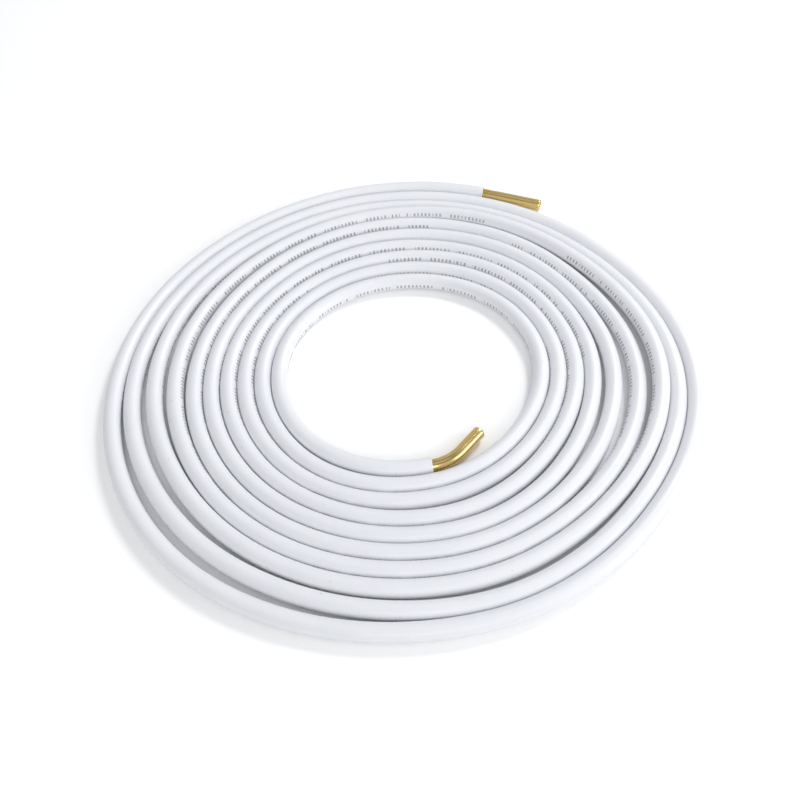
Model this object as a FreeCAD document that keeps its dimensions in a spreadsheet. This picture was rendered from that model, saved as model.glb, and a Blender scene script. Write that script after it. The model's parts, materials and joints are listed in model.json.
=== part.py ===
# Coil of plastic-coated metal gas tubing: one flat layer of turns, lying on the floor,
# with a short bare end of metal tube standing out of the coating at each end.
# One turn is squeezed up a little over part of its way round, the raised stretch.
#
# Frame: millimetres, +Z up, origin on the floor at the axis of the coil.
# Bearings are in degrees, anticlockwise from +X, seen from above.
# From its inner end to its outer end the tube winds clockwise.
#
# Nodes: coiled_tubing    the turns, as one turned solid whose bore is the eye of the coil
#        inner_bare_end   bare metal tube that leaves the first turn, into the eye
#        outer_bare_end   bare metal tube that leaves the last turn
import FreeCAD, Part
import os
import Sketcher

Vector = FreeCAD.Vector
Rotation = FreeCAD.Rotation
Placement = FreeCAD.Placement
ORIGIN_POINT = (-1, 1)
CENTRE_POINT = 3

document = FreeCAD.newDocument("gas_tubing_coil")

# ---------------------------------------------------------------- the sheet of sizes
DRIVING = (
    ("jacket_diameter", 8.0, "outside of the plastic coating"),
    ("tube_diameter", 6.0, "outside of the metal tube"),
    ("tube_bore", 4.0, "inside of the metal tube"),
    ("eye_diameter", 108.0, "clear hole in the middle of the coil"),
    ("turn_slack", 1.3, "mean gap between one turn and the next"),
    ("raised_lift", 2.4, "how far the raised turn is squeezed up, onto its neighbours"),
    ("raised_bearing", 340.0, "where the raised stretch starts"),
    ("raised_span", 125.0, "degrees that the raised stretch runs"),
    ("web_thickness", 3.0, "thickness of the solid between two turns"),
    ("outer_part_turn", 209.0, "degrees of the last turn, up to the outer end"),
    ("inner_end_gap", 60.0, "degrees left out of the first turn, beside the inner end"),
    ("inner_end_bearing", 279.0, "where the coating stops on the first turn"),
    ("inner_bare_length", 29.0, "bare tube at the inner end, along its axis"),
    ("inner_bend_angle", 40.0, "degrees that the inner end turns into the eye"),
    ("inner_bend_radius", 22.0, "radius of that bend, to the tube's axis"),
    ("outer_bare_length", 33.5, "bare tube at the outer end, along its axis"),
    ("outer_bend_angle", 3.0, "degrees that the outer end turns, along the coil"),
    ("outer_bend_radius", 160.0, "radius of that bend, to the tube's axis"),
)
FULL_TURNS = 9
RAISED_TURN = 7
DERIVED = (
    ("ring_pitch", "=jacket_diameter + turn_slack"),
    ("first_turn_radius", "=eye_diameter / 2 + jacket_diameter / 2"),
    ("last_turn_radius", f"=first_turn_radius + {FULL_TURNS} * ring_pitch"),
    ("axis_height", "=jacket_diameter / 2"),
    ("outer_end_bearing", "=inner_end_bearing - outer_part_turn"),
)


def fill_sheet():
    """Write the sizes, one row each: name, value or formula, meaning."""
    sheet = document.addObject("Spreadsheet::Sheet", "sizes")
    rows = DRIVING + tuple((alias, formula, "worked out") for alias, formula in DERIVED)
    for row, (alias, content, meaning) in enumerate(rows, start=1):
        sheet.set(f"A{row}", alias)
        sheet.set(f"B{row}", str(content))
        sheet.set(f"C{row}", meaning)
        sheet.setAlias(f"B{row}", alias)
    document.recompute()


# ---------------------------------------------------------------- sketching helpers
def upright_sketch(body, name, bearing):
    """A sketch on the upright plane at this bearing: X is out from the axis, Y is up."""
    planes = [feature for feature in body.Origin.OriginFeatures if feature.Role == "XZ_Plane"]
    sketch = body.newObject("Sketcher::SketchObject", name)
    sketch.AttachmentSupport = [(planes[0], "")]
    sketch.MapMode = "FlatFace"
    sketch.AttachmentOffset = Placement(Vector(), Rotation(Vector(0, 1, 0), 1))
    sketch.setExpression("AttachmentOffset.Rotation.Angle", bearing)
    return sketch


def bind(sketch, name, formula, kind, *places):
    """Add a constraint with a size, and tie the size to a formula of the sheet."""
    index = sketch.addConstraint(Sketcher.Constraint(kind, *places, 1.0))
    sketch.renameConstraint(index, name)
    sketch.setExpression(f"Constraints.{name}", formula)


def draw_circle(sketch, name, diameter, out, height):
    """A circle with its centre this far out from the axis and this high."""
    edge = sketch.addGeometry(Part.Circle(Vector(1, 1, 0), Vector(0, 0, 1), 0.5))
    bind(sketch, f"{name}_diameter", diameter, "Diameter", edge)
    bind(sketch, f"{name}_out", out, "DistanceX", *ORIGIN_POINT, edge, CENTRE_POINT)
    bind(sketch, f"{name}_height", height, "DistanceY", *ORIGIN_POINT, edge, CENTRE_POINT)


def draw_rectangle(sketch, near, far, low, high):
    """A rectangle between two distances from the axis and two heights."""
    corners = [Vector(1, 1, 0), Vector(2, 1, 0), Vector(2, 2, 0), Vector(1, 2, 0)]
    for start, end in zip(corners, corners[1:] + corners[:1]):
        sketch.addGeometry(Part.LineSegment(start, end))
    for side in range(4):
        sketch.addConstraint(Sketcher.Constraint("Coincident", side, 2, (side + 1) % 4, 1))
        direction = "Horizontal" if side % 2 == 0 else "Vertical"
        sketch.addConstraint(Sketcher.Constraint(direction, side))
    bind(sketch, "near", near, "DistanceX", *ORIGIN_POINT, 0, 1)
    bind(sketch, "low", low, "DistanceY", *ORIGIN_POINT, 0, 1)
    bind(sketch, "far", far, "DistanceX", *ORIGIN_POINT, 2, 1)
    bind(sketch, "high", high, "DistanceY", *ORIGIN_POINT, 2, 1)


def turn_about_axis(body, name, sketch, angle, clockwise=False):
    """Revolve a sketch about the body's Z axis."""
    turned = body.newObject("PartDesign::Revolution", name)
    turned.Profile = sketch
    turned.ReferenceAxis = (sketch, ["V_Axis"])
    turned.Reversed = clockwise
    turned.setExpression("Angle", angle)
    document.recompute()


# ---------------------------------------------------------------- the turns
FULL_CIRCLE = "360"
FIRST_TURN = ("sizes.inner_end_bearing + sizes.inner_end_gap", "360 - sizes.inner_end_gap")
MIDDLE_TURN = ("0", FULL_CIRCLE)
LAST_TURN = ("sizes.outer_end_bearing", "sizes.outer_part_turn")
RAISED_STRETCH = ("sizes.raised_bearing", "sizes.raised_span")


def ring_radius(ring):
    """Formula for the radius of a turn, counted from 0 at the eye."""
    return f"sizes.first_turn_radius + {ring} * sizes.ring_pitch"


def add_ring(body, name, ring, span, height="sizes.axis_height"):
    """One turn: a round ridge that runs from a bearing through an angle."""
    start, angle = span
    sketch = upright_sketch(body, f"{name}_section", start)
    draw_circle(sketch, "jacket", "sizes.jacket_diameter", ring_radius(ring), height)
    turn_about_axis(body, name, sketch, angle)


def add_web(body, name, first, last, span):
    """The solid between the turns, from the middle of one ring to the middle of another."""
    start, angle = span
    sketch = upright_sketch(body, f"{name}_section", start)
    draw_rectangle(
        sketch,
        near=ring_radius(first),
        far=ring_radius(last),
        low="sizes.axis_height - sizes.web_thickness / 2",
        high="sizes.axis_height + sizes.web_thickness / 2",
    )
    turn_about_axis(body, name, sketch, angle)


def make_coiled_tubing():
    """All the turns in one turned solid: grooved above and below, with the eye as its bore.

    One turn is squeezed up over part of its way round, so the solid has a raised stretch there.
    """
    body = document.addObject("PartDesign::Body", "coiled_tubing")
    add_web(body, "middle_web", 1, FULL_TURNS - 1, MIDDLE_TURN)
    add_web(body, "first_web", 0, 1, FIRST_TURN)
    add_web(body, "last_web", FULL_TURNS - 1, FULL_TURNS, LAST_TURN)
    for ring in range(FULL_TURNS + 1):
        span = {0: FIRST_TURN, FULL_TURNS: LAST_TURN}.get(ring, MIDDLE_TURN)
        add_ring(body, f"turn_{ring + 1}", ring, span)
    raised_height = "sizes.axis_height + sizes.raised_lift"
    add_ring(body, "raised_stretch", RAISED_TURN - 1, RAISED_STRETCH, raised_height)
    return body


# ---------------------------------------------------------------- the bare ends
def make_bare_end(node, turn_radius, bearing, size, clockwise):
    """Metal tube that leaves the coating square to its cut face, bends, then runs straight.

    The body's own Z axis is the axis of the bend, on the line from the coil's axis out to
    the cut face, so the bend starts along the turn that it leaves.
    """
    length, angle, radius = (f"sizes.{size}_{word}" for word in ("bare_length", "bend_angle", "bend_radius"))
    body = document.addObject("PartDesign::Body", node)
    bend = upright_sketch(body, f"{node}_section", "0")
    straight = upright_sketch(body, f"{node}_straight_section", f"-({angle})" if clockwise else angle)
    for sketch in (bend, straight):
        draw_circle(sketch, "outside", "sizes.tube_diameter", radius, "sizes.axis_height")
        draw_circle(sketch, "bore", "sizes.tube_bore", radius, "sizes.axis_height")
    turn_about_axis(body, f"{node}_bend", bend, angle, clockwise)
    run = body.newObject("PartDesign::Pad", f"{node}_run")
    run.Profile = straight
    run.Reversed = not clockwise
    run.setExpression("Length", f"{length} - {radius} * {angle} * pi / 180")
    body.Placement = Placement(Vector(), Rotation(Vector(0, 0, 1), 1))
    body.setExpression("Placement.Rotation.Angle", bearing)
    body.setExpression("Placement.Base.x", f"({turn_radius} - {radius}) * cos({bearing} * 1deg)")
    body.setExpression("Placement.Base.y", f"({turn_radius} - {radius}) * sin({bearing} * 1deg)")
    document.recompute()
    return body


# ---------------------------------------------------------------- check and write
def check_document(bodies):
    """Stop if any feature failed, or if a sub-part isn't one sound solid."""
    for item in document.Objects:
        faults = [state for state in item.State if state in ("Invalid", "Error")]
        if faults:
            raise RuntimeError(f"{item.Name} is {faults}")
    for body in bodies:
        shape = body.Shape
        if shape.isNull() or not shape.isValid() or len(shape.Solids) != 1:
            raise RuntimeError(f"{body.Label} isn't one sound solid")


def write_node(body):
    """Write one sub-part to its own file, named after its label."""
    shape = body.Shape
    shape.exportStep(f"parts/{body.Label}.step")
    box = shape.optimalBoundingBox()
    print(f"{body.Label}: volume {shape.Volume:.1f} mm3, x {box.XMin:.2f} to {box.XMax:.2f},"
          f" y {box.YMin:.2f} to {box.YMax:.2f}, z {box.ZMin:.2f} to {box.ZMax:.2f}")


fill_sheet()
sub_parts = [
    make_coiled_tubing(),
    make_bare_end("inner_bare_end", "sizes.first_turn_radius", "sizes.inner_end_bearing",
                  size="inner", clockwise=False),
    make_bare_end("outer_bare_end", "sizes.last_turn_radius", "sizes.outer_end_bearing",
                  size="outer", clockwise=True),
]
document.recompute()
check_document(sub_parts)
os.makedirs("parts", exist_ok=True)
for sub_part in sub_parts:
    write_node(sub_part)
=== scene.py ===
# %% [markdown]
# # A flat coil of plastic-coated gas tubing
# The real thing is one length of 6 mm metal tube in a white plastic coating, wound by hand into
# one flat layer of turns. We load the construction model first. It says where everything is,
# and nothing below moves it: we only dress it.

# %% Load the frame and keep its box
import json
import math

import bpy
from mathutils import Matrix, Vector


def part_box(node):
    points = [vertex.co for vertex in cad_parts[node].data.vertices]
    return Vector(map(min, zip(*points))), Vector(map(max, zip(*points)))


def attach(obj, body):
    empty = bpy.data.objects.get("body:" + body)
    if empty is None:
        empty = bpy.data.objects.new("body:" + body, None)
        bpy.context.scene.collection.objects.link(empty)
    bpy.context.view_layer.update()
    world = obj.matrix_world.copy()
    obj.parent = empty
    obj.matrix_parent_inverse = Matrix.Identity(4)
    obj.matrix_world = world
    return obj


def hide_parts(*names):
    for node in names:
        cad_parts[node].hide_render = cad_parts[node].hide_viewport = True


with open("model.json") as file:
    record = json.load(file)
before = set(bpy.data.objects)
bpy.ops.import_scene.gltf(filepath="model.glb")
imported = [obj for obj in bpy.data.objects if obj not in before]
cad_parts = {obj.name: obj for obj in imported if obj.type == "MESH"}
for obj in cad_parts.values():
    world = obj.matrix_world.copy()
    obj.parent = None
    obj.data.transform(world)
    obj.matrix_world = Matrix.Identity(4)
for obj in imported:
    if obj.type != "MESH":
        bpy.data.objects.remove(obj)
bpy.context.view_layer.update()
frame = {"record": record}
record = frame["record"]
mounts = {mount["name"]: mount for mount in record["mounts"]}

# %% [markdown]
# ## Sizes
# A maker works from a few sizes. They come from the mounts, which describe the two bare ends: a
# point half way along each straight stretch, its direction and its radius. The tube lies on the
# floor in its coating, so its axis is half a coating above the floor. The box of the coil is
# taller than the coating, because one turn is squeezed up, and the difference is that turn's lift.

# %% Sizes from the frame
MM = 0.001
AXIS_HEIGHT = mounts["inner_end_outside"]["pos_m"][2]
COATING = 2 * AXIS_HEIGHT
RAISED_LIFT = (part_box("coiled_tubing")[1][2] - COATING) / COATING
TUBE = 2 * MM * mounts["inner_end_outside"]["dims"]["r_mm"]
BORE = 2 * MM * mounts["inner_end_bore"]["dims"]["r_mm"]
INNER_BEND_RADIUS = 22 * MM
OUTER_BEND_RADIUS = 160 * MM
INNER_BEARING = math.radians(279)
OUTER_BEARING = math.radians(70)
print("coating", COATING, "tube", TUBE, "bore", BORE, "lift", round(RAISED_LIFT, 3), "diameters")


def bearing_point(radius, bearing):
    """A point at the height of the tube's axis, at this distance and bearing from the middle."""
    return Vector((radius * math.cos(bearing), radius * math.sin(bearing), AXIS_HEIGHT))


def bare_end_line(mount_name, bend_radius, bearing, clockwise):
    """Corner points of a bare end: cut face of the coating, start of the straight run, and tip.

    The tube leaves the coating at right angles to the line out from the coil's middle, and bends
    with one radius until it points along the mount's axis.
    """
    mount = mounts[mount_name]
    axis = Vector(mount["axis"])
    half = axis * mount["dims"]["length_mm"] * MM / 2
    straight_start = Vector(mount["pos_m"]) - half
    side = -1 if clockwise else 1
    leaving = Vector((-side * math.sin(bearing), side * math.cos(bearing), 0))
    reach = bend_radius * math.tan(leaving.angle(axis) / 2)
    face = straight_start - axis * reach - leaving * reach
    return {"face": face, "leaving": leaving, "bend": leaving.angle(axis), "radius": bend_radius,
            "straight_start": straight_start, "tip": straight_start + 2 * half, "axis": axis}


inner_line = bare_end_line("inner_end_outside", INNER_BEND_RADIUS, INNER_BEARING, clockwise=False)
outer_line = bare_end_line("outer_end_outside", OUTER_BEND_RADIUS, OUTER_BEARING, clockwise=True)
INNER_RADIUS = inner_line["face"].xy.length
OUTER_RADIUS = outer_line["face"].xy.length
print("inner end at radius", INNER_RADIUS, "outer end at radius", OUTER_RADIUS)

# %% [markdown]
# ## Camera
# The camera goes in early, because everything after it is judged through it. It stands in front of
# the coil and looks down at about 49 degrees, near enough that the front turns look much larger
# than the back ones. We aim it with a matrix built from its own axes, and turn it a little about
# its line of sight, as a camera held in the hand is.

# %% Camera
CAMERA_PLACE = Vector((-1.4, -289.9, 319.1)) * MM
CAMERA_TARGET = Vector((-3.6, -18.8, 4.0)) * MM
CAMERA_ROLL = -0.0523
CAMERA_LENS = 40.6

camera = bpy.data.objects.new("camera", bpy.data.cameras.new("camera"))
bpy.context.scene.collection.objects.link(camera)
backwards = (CAMERA_PLACE - CAMERA_TARGET).normalized()
level_right = Vector((0, 0, 1)).cross(backwards).normalized()
level_up = backwards.cross(level_right)
right = math.cos(CAMERA_ROLL) * level_right + math.sin(CAMERA_ROLL) * level_up
up = backwards.cross(right)
turned = Matrix((right, up, backwards)).transposed().to_4x4()
camera.matrix_world = Matrix.Translation(CAMERA_PLACE) @ turned
camera.data.sensor_width = 36
camera.data.lens = CAMERA_LENS
bpy.context.scene.camera = camera
print("camera stands", round((CAMERA_PLACE - CAMERA_TARGET).length, 3), "m from the coil")

# %% [markdown]
# ## The winding
# A coil could be drawn as an even spiral, but a real one is never even: the turns touch over
# most of their length and part in places, and where one turn parts, every turn outside it has to
# go round the gap too. So the line is an even spiral plus a short list of loose spots, each of
# which pushes out all the turns beyond it. One turn was squeezed up and lies on its neighbour's
# shoulder. Two round tubes that touch are always one diameter apart, so its lift and its step
# sideways come from one right-angled triangle.

# %% Loose spots and the raised turn
# after this turn, bearing in degrees, half width in degrees, gap in diameters. After turn 0
# stands for the shape of the eye, which every turn follows, and there a gap may be negative.
LOOSE_SPOTS = (
    (0, 48, 45, 0.13),
    (0, 228, 50, 0.11),
    (0, 328, 45, -0.26),
    (1, 80, 70, 0.19),
    (1, 250, 50, 0.14),
    (2, 75, 55, 0.18),
    (2, 285, 45, 0.17),
    (3, 105, 40, 0.13),
    (3, 308, 45, 0.12),
    (4, 75, 65, 0.17),
    (4, 345, 55, 0.19),
    (5, 100, 72, 0.20),
    (5, 350, 52, 0.38),
    (6, 150, 62, 0.24),
    (6, 6, 54, 0.32),
    (7, 165, 60, 0.26),
    (7, 305, 35, 0.14),
    (8, 205, 60, 0.36),
    (8, 278, 45, 0.20),
    (9, 228, 55, 0.46),
)
RAISED_TURN = 7
RAISED_FROM, RAISED_UP, RAISED_DOWN, RAISED_TO = -38, 4, 62, 132


def swell(distance):
    """A smooth rise and fall: one at zero, nothing from a distance of one outwards."""
    return max(0.0, 1 - distance * distance) ** 2


def ramp(value, start, stop):
    """A smooth step from nought at start to one at stop."""
    part = min(1.0, max(0.0, (value - start) / (stop - start)))
    return part * part * (3 - 2 * part)


def turns_past(wound, turn, bearing):
    """How often the line has passed a bearing since this turn passed it, and how far off it is."""
    first_pass = 360 * (turn - 1) + (math.degrees(INNER_BEARING) - bearing) % 360
    passes = round((wound - first_pass) / 360)
    return passes, wound - first_pass - 360 * passes


def lift_at(bearing):
    """Lift of the raised turn at a bearing, in diameters."""
    near = (bearing + 180) % 360 - 180
    return RAISED_LIFT * ramp(near, RAISED_FROM, RAISED_UP) * ramp(near, RAISED_TO, RAISED_DOWN)


def line_point(wound):
    """The tube's axis after so many degrees of winding from the inner end, clockwise."""
    bearing = math.degrees(INNER_BEARING) - wound
    radius = INNER_RADIUS / COATING + wound / 360
    for turn, spot, half_width, gap in LOOSE_SPOTS:
        passes, off = turns_past(wound, turn, spot)
        if passes >= 1:
            radius += gap * swell(off / half_width)
    lift = lift_at(bearing)
    squeeze = math.sqrt(1 - lift * lift) - 1
    passes, _ = turns_past(wound, RAISED_TURN, bearing)
    if passes >= 1:
        radius += squeeze
    point = bearing_point(radius * COATING, math.radians(bearing))
    if passes == 0:
        point.z += lift * COATING
    return point


WOUND = 9 * 360 + math.degrees(INNER_BEARING - OUTER_BEARING)
POINTS_PER_TURN = 48
POINT_COUNT = round(WOUND / 360 * POINTS_PER_TURN) + 1
flare = OUTER_RADIUS - line_point(WOUND).xy.length
print("turns", round(WOUND / 360, 2), "and the last one springs out by", round(flare / MM, 2), "mm")

# %% [markdown]
# ## From control points to a smooth line
# The line is a NURBS spline with 48 control points in each turn. A spline of order 3 runs a
# little inside its control points, so each point is moved out by the ratio that puts the curve
# back on the radius we want. The last part of the outer turn springs away from its neighbour,
# as a cut end does once nothing holds it.

# %% The spline
SPRING_BACK_DEGREES = 70
STEP = math.radians(360 / POINTS_PER_TURN)
CORNER_TO_CURVE = 1 / math.cos(STEP / 2)


def control_point(number):
    """One control point of the tube's axis."""
    wound = WOUND * number / (POINT_COUNT - 1)
    point = line_point(wound)
    springing = ramp(wound, WOUND - SPRING_BACK_DEGREES, WOUND)
    radius = point.xy.length + flare * springing
    at_an_end = number in (0, POINT_COUNT - 1)
    scale = radius / point.xy.length * (1 if at_an_end else CORNER_TO_CURVE)
    return Vector((point.x * scale, point.y * scale, point.z))


def make_spline(name, points):
    """A NURBS curve of order 3 through its end points."""
    curve = bpy.data.curves.new(name, "CURVE")
    curve.dimensions = "3D"
    spline = curve.splines.new("NURBS")
    spline.points.add(len(points) - 1)
    for place, point in zip(spline.points, points):
        place.co = (*point, 1)
    spline.order_u = 3
    spline.use_endpoint_u = True
    spline.resolution_u = 3
    return curve


winding = make_spline("winding", [control_point(number) for number in range(POINT_COUNT)])
winding_object = bpy.data.objects.new("winding", winding)
axis_mesh = bpy.data.meshes.new_from_object(winding_object)
axis_points = [vertex.co.copy() for vertex in axis_mesh.vertices]
bpy.data.objects.remove(winding_object)
bpy.data.meshes.remove(axis_mesh)
print(len(axis_points), "points along the tube's axis")

# %% [markdown]
# ## A tube that follows a line
# Both the coating and the metal are tubes along a line, so one helper makes them. It is given
# rings, each a distance along the line and a radius, and it skins them in order. Going back
# along the line with a smaller radius makes the cut face and the inside wall, so a single list
# of rings turns the corner at each cut end. Each vertex also keeps how far along it is and where
# round the tube it is, for the materials.

# %% Line and tube helpers
class Line:
    """Points joined in order, read by distance from the first one."""

    def __init__(self, points):
        self.points = points
        self.distances = [0.0]
        for start, end in zip(points, points[1:]):
            self.distances.append(self.distances[-1] + (end - start).length)
        self.length = self.distances[-1]
        self.spans = len(points) - 1

    def span_at(self, distance):
        """Number of the span that holds this distance, found by halving."""
        low, high = 0, self.spans - 1
        while low < high:
            middle = (low + high + 1) // 2
            if self.distances[middle] <= distance:
                low = middle
            else:
                high = middle - 1
        return low

    def direction(self, number):
        """Direction at a point, halfway between the spans beside it."""
        before = self.points[max(number - 1, 0)]
        after = self.points[min(number + 1, self.spans)]
        return (after - before).normalized()

    def frame_at(self, distance):
        """Point, sideways direction and upward direction at this distance."""
        span = self.span_at(distance)
        size = self.distances[span + 1] - self.distances[span]
        part = (distance - self.distances[span]) / size
        point = self.points[span].lerp(self.points[span + 1], part)
        along = self.direction(span).lerp(self.direction(span + 1), part).normalized()
        sideways = along.cross(Vector((0, 0, 1))).normalized()
        return point, sideways, sideways.cross(along), along


def skin_tube(name, line, rings, sides, ragged=None):
    """A closed tube along a line, from rings of (distance, radius, raggedness)."""
    vertices, along, across, upward = [], [], [], []
    for distance, radius, roughness in rings:
        point, sideways, above, forward = line.frame_at(min(max(distance, 0), line.length))
        past = distance - min(max(distance, 0), line.length)
        for side in range(sides):
            angle = math.tau * side / sides
            out = math.cos(angle) * sideways + math.sin(angle) * above
            shift = past + (roughness * ragged(angle) if ragged else 0)
            vertices.append(point + out * radius + forward * shift)
            along.append(distance)
            across.append(math.cos(angle))
            upward.append(math.sin(angle))
    faces = []
    for ring in range(len(rings) - 1):
        for side in range(sides):
            near, far = ring * sides, (ring + 1) * sides
            beside = (side + 1) % sides
            faces.append((near + side, near + beside, far + beside, far + side))
    mesh = bpy.data.meshes.new(name)
    mesh.from_pydata(vertices, [], faces)
    for key, values in (("along", along), ("across", across), ("upward", upward)):
        layer = mesh.attributes.new(key, "FLOAT", "POINT")
        layer.data.foreach_set("value", values)
    mesh.shade_smooth()
    mesh.validate()
    piece = bpy.data.objects.new(name, mesh)
    bpy.context.scene.collection.objects.link(piece)
    print(name, len(mesh.polygons) * 2, "triangles,", round(line.length, 4), "m long")
    return piece


# %% [markdown]
# ## The coating
# The coating is 1 mm of soft plastic. It was cut with a knife and pulled off the ends, so each
# cut face is a flat ring that isn't quite square, with a fine raised lip where the blade left.
# The outside swells and thins by a few hundredths of a millimetre, as extruded plastic does.

# %% Coating mesh
COATING_SIDES = 32
CUT_DEPTH = 5 * MM
LIP = 0.3 * MM
coil_line = Line(axis_points)


def coating_radius(distance):
    """The outside radius, with the slow unevenness of extruded plastic. Never over nominal."""
    waves = math.sin(distance / 0.047) + math.sin(distance / 0.021 + 1.3) + math.sin(distance / 0.0093)
    return COATING / 2 - 0.012 * MM * (3 - waves)


def cut_rings(outside, inside):
    """Rings of one cut end, from inside the wall, over the cut face, to the outside."""
    return [
        (CUT_DEPTH, inside + 0.02 * MM, 0.0),
        (LIP, inside + 0.02 * MM, 1.0),
        (0.06 * MM, inside + 0.06 * MM, 1.0),
        (0.0, inside + 0.16 * MM, 1.0),
        (0.02 * MM, outside - 0.30 * MM, 1.0),
        (-0.03 * MM, outside - 0.14 * MM, 1.0),
        (0.07 * MM, outside - 0.02 * MM, 1.0),
        (LIP, outside, 0.6),
        (4 * LIP, outside, 0.0),
    ]


def blade_path(angle):
    """How far the cut wanders along the tube, going round it, in metres."""
    return (0.16 * math.sin(angle + 0.6) + 0.06 * math.sin(3 * angle) + 0.03 * math.sin(7 * angle)) * MM


start_cut = cut_rings(COATING / 2 - 0.03 * MM, TUBE / 2)
end_cut = [(coil_line.length - distance, radius, rough) for distance, radius, rough in reversed(start_cut)]
walls = [(distance, coating_radius(distance), 0.0) for distance in coil_line.distances
         if 8 * LIP < distance < coil_line.length - 8 * LIP]
coating = skin_tube("coating", coil_line, start_cut + walls + end_cut, COATING_SIDES, blade_path)

# %% [markdown]
# ## The bare ends
# Each bare end is metal tube with a 1 mm wall. A tube cutter rolls the edge slightly inwards, so
# the tip has a small rounded shoulder, a flat cut ring and an open bore. The line starts inside
# the coating, bends on one radius, and runs straight to the tip.

# %% Bare end meshes
TUBE_SIDES = 40
HIDDEN = 4 * MM
ARC_STEPS = 14


def bare_line(ends):
    """The axis of a bare end, from inside the coating to the tip."""
    turning = ends["leaving"].cross(ends["axis"])
    inward = turning.normalized().cross(ends["leaving"])
    centre = ends["face"] + inward * ends["radius"]
    points = [ends["face"] - ends["leaving"] * HIDDEN * part for part in (1, 0.5)]
    for step in range(ARC_STEPS + 1):
        angle = ends["bend"] * step / ARC_STEPS
        outwards = -inward * math.cos(angle) + ends["leaving"] * math.sin(angle)
        points.append(centre + outwards * ends["radius"])
    run = ends["tip"] - ends["straight_start"]
    points += [ends["straight_start"] + run * step / 8 for step in range(1, 9)]
    return Line(points)


def make_bare_end(name, ends):
    """One bare end, as a closed wall of metal round an open bore."""
    line = bare_line(ends)
    tip = line.length
    outside, inside = TUBE / 2, BORE / 2
    rings = [(distance, inside, 0) for distance in reversed(line.distances) if distance < tip - 1.5 * MM]
    start = [(0.0, (outside + inside) / 2, 0)]
    wall = [(distance, outside - 0.01 * MM, 0) for distance in line.distances if distance < tip - 1.5 * MM]
    rolled = [(0.9, 0.01), (0.45, 0.05), (0.2, 0.12), (0.05, 0.24), (0.0, 0.36)]
    shoulder = [(tip - back * MM, outside - in_by * MM, 0) for back, in_by in rolled]
    mouth = [(tip, inside + 0.16 * MM, 0), (tip - 0.1 * MM, inside + 0.04 * MM, 0),
             (tip - 0.5 * MM, inside, 0)]
    return skin_tube(name, line, start + wall + shoulder + mouth + rings + start, TUBE_SIDES)


inner_end = make_bare_end("inner_bare_tube", inner_line)
outer_end = make_bare_end("outer_bare_tube", outer_line)

# %% [markdown]
# ## Shader maths in plain Python
# Materials here are node trees, but maths in nodes is hard to read. This small class wraps an
# output socket, so that `1 - mask * 0.5` adds the right Math nodes. Anything else goes through
# `node`, which takes a node's type, its settings and its inputs.

# %% The socket class and the material helper
class Value:
    """An output socket that can be used in a Python expression."""

    def __init__(self, tree, socket):
        self.tree = tree
        self.socket = socket

    def maths(self, operation, *inputs, clamp=False):
        made = self.tree.nodes.new("ShaderNodeMath")
        made.operation = operation
        made.use_clamp = clamp
        for place, item in zip(made.inputs, inputs):
            plug(self.tree, place, item)
        return Value(self.tree, made.outputs[0])

    def __add__(self, other):
        return self.maths("ADD", self, other)

    def __sub__(self, other):
        return self.maths("SUBTRACT", self, other)

    def __rsub__(self, other):
        return self.maths("SUBTRACT", other, self)

    def __mul__(self, other):
        return self.maths("MULTIPLY", self, other)

    def __truediv__(self, other):
        return self.maths("DIVIDE", self, other)

    __radd__ = __add__
    __rmul__ = __mul__

    def over(self, low, high):
        """How far this is from low to high, held between nought and one."""
        return self.maths("DIVIDE", self - low, high - low, clamp=True)

    def wrapped(self, length):
        return self.maths("FLOORED_MODULO", self, length)

    def size(self):
        return self.maths("ABSOLUTE", self)


def plug(tree, place, item):
    """Link a socket, or set a plain value."""
    if isinstance(item, Value):
        tree.links.new(item.socket, place)
    else:
        place.default_value = item


class Material:
    """A material, its shader, and a short way to add nodes."""

    def __init__(self, name):
        self.data = bpy.data.materials.new(name)
        self.data.use_nodes = True
        self.tree = self.data.node_tree
        self.shader = self.tree.nodes["Principled BSDF"]

    def node(self, kind, settings=None, output=0, **inputs):
        """Add a node: settings first, then sockets, whose names use _ for a space."""
        made = self.tree.nodes.new("ShaderNode" + kind)
        for key, value in (settings or {}).items():
            setattr(made, key, value)
        for key, value in inputs.items():
            plug(self.tree, made.inputs[key.replace("_", " ")], value)
        return Value(self.tree, made.outputs[output])

    def kept(self, name):
        """A number that the mesh keeps for each vertex."""
        return self.node("Attribute", {"attribute_name": name}, output="Fac")

    def vector(self, x, y, z):
        return self.node("CombineXYZ", X=x, Y=y, Z=z)

    def noise(self, place, scale, detail=2.0, roughness=0.5):
        return self.node("TexNoise", Vector=place, Scale=scale, Detail=detail, Roughness=roughness)

    def blend(self, amount, first, second):
        """Mix two colours."""
        mixed = self.tree.nodes.new("ShaderNodeMix")
        mixed.data_type = "RGBA"
        plug(self.tree, mixed.inputs[0], amount)
        plug(self.tree, mixed.inputs[6], first)
        plug(self.tree, mixed.inputs[7], second)
        return Value(self.tree, mixed.outputs[2])

    def bump(self, height, distance, strength=1.0):
        return self.node("Bump", Height=height, Distance=distance, Strength=strength)

    def finish(self, **sockets):
        """Set the shader's sockets."""
        for key, value in sockets.items():
            plug(self.tree, self.shader.inputs[key.replace("_", " ")], value)
        return self.data


# %% [markdown]
# ## White plastic
# Extruded plastic has fine lines drawn along it by the die, a faint unevenness of tone, and a
# surface like very fine orange peel. Handling adds rubbed patches that are less shiny, a few thin
# scuffs, and specks of dust. A printed line runs along one side: on ours it is only a row of
# plain ticks, in groups, with nothing to read.

# %% Plastic material
WHITE = (0.805, 0.815, 0.845, 1)
COOL_WHITE = (0.72, 0.735, 0.775, 1)
DUST = (0.42, 0.40, 0.38, 1)
INK = (0.045, 0.045, 0.055, 1)


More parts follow.
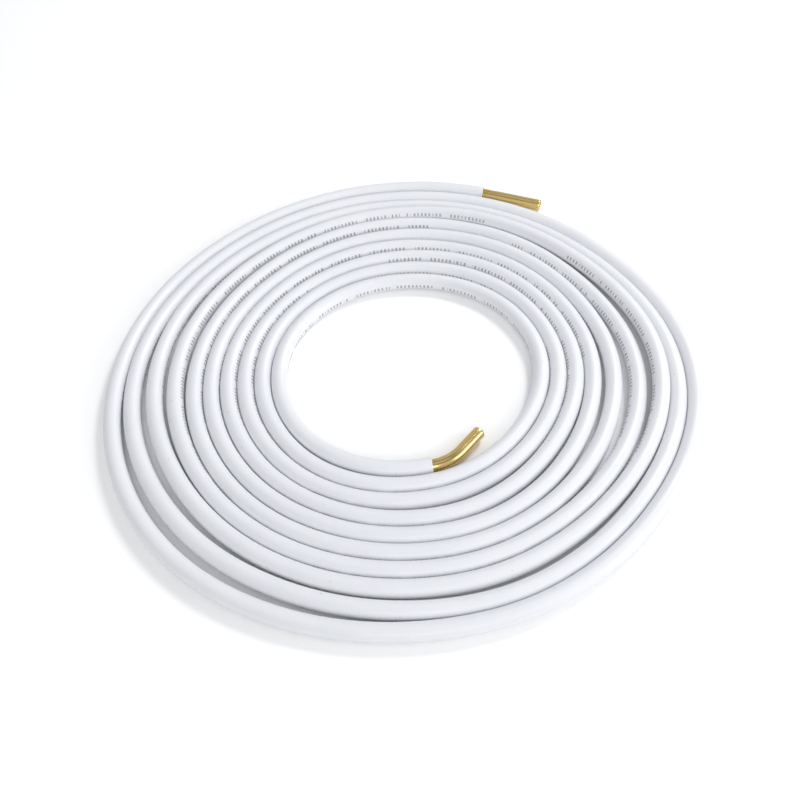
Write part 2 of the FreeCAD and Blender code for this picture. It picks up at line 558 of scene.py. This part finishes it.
def make_plastic():
    """Satin white extruded plastic, a little handled."""
    m = Material("white_plastic")
    along, across, upward = (m.kept(name) for name in ("along", "across", "upward"))
    place = m.node("TexCoord", output="Object")
    drawn = m.vector(across * 9, upward * 9, along * 7)
    die_lines = m.noise(drawn, 3.0, 3.0)
    cloudy = m.noise(place, 38.0, 3.0)
    peel = m.noise(place, 1500.0, 2.0)
    rubbed = m.noise(place, 21.0, 4.0, 0.6).over(0.52, 0.68)
    scuff_lines = m.noise(m.vector(across * 14, upward * 14, along * 60), 2.2, 1.0)
    scuffs = scuff_lines.over(0.665, 0.70) * m.noise(place, 30.0, 1.0).over(0.5, 0.62)
    cells = m.node("TexVoronoi", {"feature": "F1"}, Vector=place, Scale=210.0)
    specks = (1 - cells.over(0.045, 0.085)) * m.noise(place, 55.0, 1.0).over(0.54, 0.6)
    tone = m.blend((cloudy - 0.35) * 0.8 + (die_lines - 0.5) * 0.5, WHITE, COOL_WHITE)
    tone = m.blend(scuffs * 0.35, tone, COOL_WHITE)
    tone = m.blend(specks * 0.55, tone, DUST)
    tone = m.blend(ink_ticks(m, along, across, upward) * 0.55, tone, INK)
    roughness = 0.36 + rubbed * 0.16 + scuffs * 0.15 + (peel - 0.5) * 0.06
    height = (die_lines - 0.5) * 0.55 + (peel - 0.5) * 0.25 - scuffs * 0.25 + specks * 0.4
    return m.finish(Base_Color=tone, Roughness=roughness, IOR=1.48,
                    Normal=m.bump(height, 0.00006))


def ink_ticks(m, along, across, upward):
    """A line of plain ticks along the side that faces the eye, in groups, worn away in places.

    The tube was twisted as it was wound, so the line rises into sight along two stretches of it
    and lies low in the grooves elsewhere.
    """
    LOW, RISE, HALF_BAND = -0.05, 0.5, 0.19
    FIRST_RISE, SECOND_RISE = 1.38, 3.26
    WORD, WORD_STEP, ROW, ROW_STEP, PITCH = 0.0205, 0.0245, 0.31, 0.36, 0.0021
    angle = upward.maths("ARCTAN2", upward, across)
    low_again = (along - FIRST_RISE).size().over(0.5, 0.8) + (along - SECOND_RISE).size().over(0.55, 0.85)
    risen = 2 - low_again
    in_band = 1 - (angle - risen * RISE - LOW).size().over(HALF_BAND, HALF_BAND + 0.05)
    in_word = 1 - along.wrapped(WORD_STEP).over(WORD, WORD + 0.0004)
    in_row = 1 - along.wrapped(ROW_STEP).over(ROW, ROW + 0.0004)
    tick = 1 - (along.wrapped(PITCH) - PITCH / 2).size().over(0.0004, 0.00062)
    worn = m.noise(m.vector(along, 0.0, 0.0), 410.0, 1.0).over(0.34, 0.5)
    return in_band * in_word * in_row * tick * worn


plastic = make_plastic()
coating.data.materials.append(plastic)
print("plastic has", len(plastic.node_tree.nodes), "nodes")

# %% [markdown]
# ## Bright drawn metal
# The tube was drawn through a die and is bright gold. Drawn metal keeps long fine lines, so its
# reflection is streaked along the tube, and the air has begun to dull it in soft patches. Where
# the coating was cut and pulled off, the metal is a little duller and browner. Layer Weight paints
# shade into the colour where we look along the surface, so the edges get a painted dark rim.

# %% Metal material
GOLD = (0.79, 0.60, 0.245, 1)
DULL_GOLD = (0.60, 0.40, 0.13, 1)
# colour of the painted shade on the metal's edges
PAINTED_EDGE_SHADE_GOLD = (0.22, 0.15, 0.05, 1)


def make_metal():
    """Bright gold drawn tube with faint streaks and dull patches."""
    m = Material("gold_metal")
    along, across, upward = (m.kept(name) for name in ("along", "across", "upward"))
    place = m.node("TexCoord", output="Object")
    streaks = m.noise(m.vector(across * 4, upward * 4, along * 9), 2.6, 4.0, 0.6)
    patches = m.noise(place, 120.0, 3.0).over(0.42, 0.7)
    near_coating = 1 - along.over(0.0045, 0.0085)
    tone = m.blend(patches * 0.3 + near_coating * 0.35 + (streaks - 0.45) * 1.5, GOLD, DULL_GOLD)
    # Painted shade: the colour darkens towards the edges where we look along the surface, standing in for
    # dark surroundings reflected there.
    painted_edge_shade = m.node("LayerWeight", output="Facing", Blend=0.5)
    tone = m.blend(painted_edge_shade.over(0.60, 0.97) * 0.8, tone, PAINTED_EDGE_SHADE_GOLD)
    roughness = 0.17 + patches * 0.10 + (streaks - 0.5) * 0.12
    height = (streaks - 0.5) * 1.0
    return m.finish(Base_Color=tone, Metallic=1.0, Roughness=roughness,
                    Normal=m.bump(height, 0.00003))


metal = make_metal()
for piece in (inner_end, outer_end):
    piece.data.materials.append(metal)
print("metal has", len(metal.node_tree.nodes), "nodes")

# %% [markdown]
# ## Each piece in place of its part
# The coating stands for the turned solid of the construction model, and each bare tube for its
# own plain node, which is hidden; each piece hangs from the root. The coil is stiff tube of a known
# length.

# %% Pieces in place of their parts
for piece, node, slot in ((coating, "coiled_tubing", "jacket"), (inner_end, "inner_bare_end", "tube"),
                          (outer_end, "outer_bare_end", "tube")):
    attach(piece, "root")
    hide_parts(node)
print("tube in the coil:", round(coil_line.length, 3), "m")

# %% [markdown]
# ## Floor and light
# The coil lies on a plain white floor. The camera and the reflections see the floor a little
# brighter than it is, through Light Path, so that it reads as white paper while it keeps the
# soft shadow of the coil. The lift multiplies the floor's colour, so a shadow keeps its depth.

# %% Floor
FLOOR_HALF = 3.0
FLOOR_SEEN = 1.07
FLOOR_BASE = 0.85
floor_mesh = bpy.data.meshes.new("floor")
corners = [(x * FLOOR_HALF, y * FLOOR_HALF, 0) for x, y in ((-1, -1), (1, -1), (1, 1), (-1, 1))]
floor_mesh.from_pydata(corners, [], [(0, 1, 2, 3)])
floor = bpy.data.objects.new("floor", floor_mesh)
bpy.context.scene.collection.objects.link(floor)

paper = Material("floor_paper")
seen = paper.node("LightPath", output="Is Camera Ray")
mirrored = paper.node("LightPath", output="Is Glossy Ray")
white = (seen + mirrored) * (FLOOR_SEEN - FLOOR_BASE) + FLOOR_BASE
floor.data.materials.append(paper.finish(Base_Color=paper.vector(white, white, white), Roughness=1.0,
                                         Specular_IOR_Level=0.0))

# %% [markdown]
# A wide soft lamp in front shapes the round turns, and one behind on the right throws the soft
# shadow towards us. A card on the right puts the long highlight on the bright metal. The sky is
# dim near the horizon and has a dark band high up, because bright metal shows only what it
# reflects, and without the bands the tubes would look flat.

# %% Lamps and sky
SKY_STRENGTH = 0.71
SKY_TONES = ((0.14, 0.50), (0.30, 0.92), (0.74, 1.0), (0.81, 0.35), (0.89, 0.35))
HORIZON = (0.30, 0.30, 0.31, 1)
ZENITH_HEIGHT = 0.97
ZENITH = (0.98, 0.99, 1.0, 1)


def soft_lamp(name, place, target, size, power):
    """A square soft lamp that points at a target."""
    lamp = bpy.data.objects.new(name, bpy.data.lights.new(name, "AREA"))
    lamp.data.size = size
    lamp.data.energy = power
    lamp.location = place
    lamp.rotation_euler = (Vector(target) - Vector(place)).to_track_quat("-Z", "Y").to_euler()
    bpy.context.scene.collection.objects.link(lamp)


soft_lamp("front", (0.1, -1.4, 0.85), (0, 0, 0), 1.0, 8)
soft_lamp("back_right", (0.75, 0.8, 1.1), (0, 0, 0), 0.4, 9)
soft_lamp("right_card", (1.3, -0.4, 0.42), (0, 0, 0), 0.75, 6)
world = bpy.data.worlds.new("room")
bpy.context.scene.world = world
world.use_nodes = True
sky = world.node_tree
direction = sky.nodes.new("ShaderNodeTexCoord")
height = sky.nodes.new("ShaderNodeSeparateXYZ")
bands = sky.nodes.new("ShaderNodeValToRGB")
lowest, highest = bands.color_ramp.elements
lowest.color = HORIZON
highest.position = ZENITH_HEIGHT
highest.color = ZENITH
for position, tone in SKY_TONES:
    bands.color_ramp.elements.new(position).color = (tone, tone * 1.01, tone * 1.03, 1)
sky.links.new(direction.outputs["Generated"], height.inputs[0])
sky.links.new(height.outputs["Z"], bands.inputs[0])
sky.links.new(bands.outputs[0], sky.nodes["Background"].inputs["Color"])
sky.nodes["Background"].inputs["Strength"].default_value = SKY_STRENGTH
bpy.context.scene.view_settings.view_transform = "Standard"
print("lamps and floor are in place")
